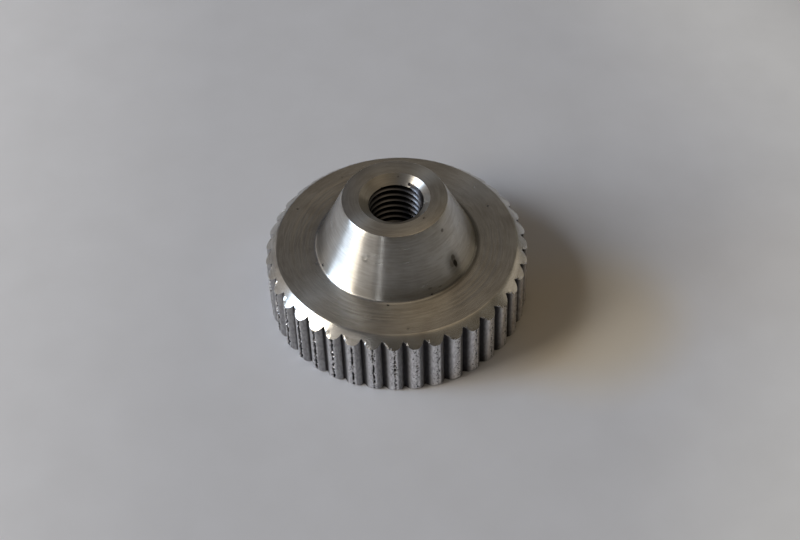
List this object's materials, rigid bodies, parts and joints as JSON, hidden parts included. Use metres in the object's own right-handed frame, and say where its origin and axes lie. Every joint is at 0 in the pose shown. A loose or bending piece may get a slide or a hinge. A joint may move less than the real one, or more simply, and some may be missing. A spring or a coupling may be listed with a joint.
{
  "type": "carburetor nut",
  "caption": "Thick round nut with a straight-knurled rim, a conical hub and a threaded through hole, turned by hand to hold a carburetor or its air cleaner down on a stud.",
  "frame": {"origin": "centre of the flat underside, on the axis of the hole", "axes": "+Z along the hole, out at the nose of the hub; -Y towards the viewer who reads the part from the front"},
  "size_m": [0.036, 0.036, 0.0187],
  "materials": {
    "turned_aluminium": "fine turned, knurled rim"
  },
  "bodies": {
    "root": {"nut_body": "turned_aluminium"}
  },
  "joints": []
}
